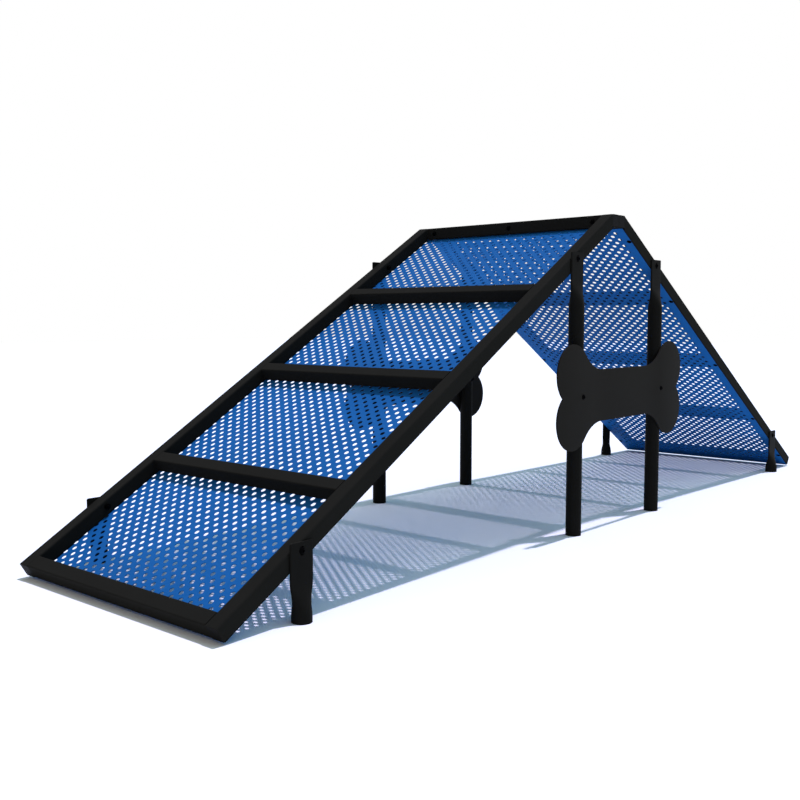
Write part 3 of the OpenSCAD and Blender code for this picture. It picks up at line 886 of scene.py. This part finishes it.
class AFRAME_OT_stage(bpy.types.Operator):
    """Floor, sky, sun and camera"""

    bl_idname = "aframe.stage"
    bl_label = "Stage"

    floor_size: length("Floor size", "Side of the floor", 60.0)
    eye: bpy.props.FloatVectorProperty(name="Eye", description="Place of the camera", size=3,
                                       default=(-3.5712, -2.4393, 0.8367), subtype="TRANSLATION")
    yaw: bpy.props.FloatProperty(name="Yaw", description="Turn of the view from +X towards +Y",
                                 default=math.radians(41.06), subtype="ANGLE")
    pitch: bpy.props.FloatProperty(name="Pitch", description="Tilt of the view below the horizon",
                                   default=math.radians(4.741), subtype="ANGLE")
    focal: bpy.props.FloatProperty(name="Focal length", description="Focal length of the camera",
                                   default=43.3737, unit="CAMERA")
    sensor: bpy.props.FloatProperty(name="Sensor", description="Width of the camera's sensor",
                                    default=36.0, unit="CAMERA")
    sun: bpy.props.FloatVectorProperty(name="Sun", description="Direction towards the sun", size=3,
                                       default=(0.22, -0.065, 1.0), subtype="DIRECTION")
    sun_power: bpy.props.FloatProperty(name="Sun power", description="Strength of the sun", default=2.92)
    sun_width: bpy.props.FloatProperty(name="Sun width", description="Apparent diameter of the sun",
                                       default=math.radians(1.65), subtype="ANGLE")

    def execute(self, context):
        scene, colours = context.scene, context.scene.aframe.colours
        corner = np.array([[-1, -1, 0], [1, -1, 0], [1, 1, 0], [-1, 1, 0]]) * self.floor_size / 2
        mesh = bpy.data.meshes.new("stage_floor")
        mesh.from_pydata(corner.tolist(), [], [[0, 1, 2, 3]])
        mesh.materials.append(floor_finish("stage_floor", colours.floor))
        floor = bpy.data.objects.new("stage_floor", mesh)
        scene.collection.objects.link(floor)

        light_world(colours.sky_ahead, colours.sky_behind)
        lamp = bpy.data.lights.new("stage_sun", "SUN")
        lamp.energy, lamp.angle, lamp.color = self.sun_power, self.sun_width, colours.sunlight
        sun = bpy.data.objects.new("stage_sun", lamp)
        sun.rotation_euler = Vector(self.sun).to_track_quat("Z", "Y").to_euler()
        scene.collection.objects.link(sun)

        camera = bpy.data.cameras.new("stage_camera")
        camera.sensor_width, camera.lens = self.sensor, self.focal
        view = bpy.data.objects.new("stage_camera", camera)
        view.location = self.eye
        flat = math.cos(self.pitch)
        ahead = Vector((math.cos(self.yaw) * flat, math.sin(self.yaw) * flat, -math.sin(self.pitch)))
        view.rotation_euler = ahead.to_track_quat("-Z", "Y").to_euler()
        scene.collection.objects.link(view)
        scene.camera = view
        scene.view_settings.view_transform = "Standard"
        return {"FINISHED"}


class AFRAME_PT_panel(bpy.types.Panel):
    """Sidebar with the A-frame's operators"""

    bl_label = "A-frame"
    bl_idname = "AFRAME_PT_panel"
    bl_space_type = "VIEW_3D"
    bl_region_type = "UI"
    bl_category = "A-frame"

    def draw(self, context):
        for operator in OPERATORS:
            self.layout.operator(operator.bl_idname)


OPERATORS = (AFRAME_OT_finishes, AFRAME_OT_tubes, AFRAME_OT_welds, AFRAME_OT_posts, AFRAME_OT_bone_plates,
             AFRAME_OT_fasteners, AFRAME_OT_stage)
CLASSES = (RampSizes, PostSizes, BoneSizes, FastenerSizes, FinishColours, AframeSettings, *OPERATORS,
           AFRAME_PT_panel)


def register():
    """Registers the classes and gives the scene its settings."""
    for made in CLASSES:
        bpy.utils.register_class(made)
    bpy.types.Scene.aframe = bpy.props.PointerProperty(type=AframeSettings)


def unregister():
    """Takes the settings from the scene and unregisters the classes."""
    del bpy.types.Scene.aframe
    for made in reversed(CLASSES):
        bpy.utils.unregister_class(made)


def main():
    """Makes every piece and the stage."""
    register()
    for operator in OPERATORS:
        group, name = operator.bl_idname.split(".")
        getattr(getattr(bpy.ops, group), name)()


if __name__ == "__main__":
    main()
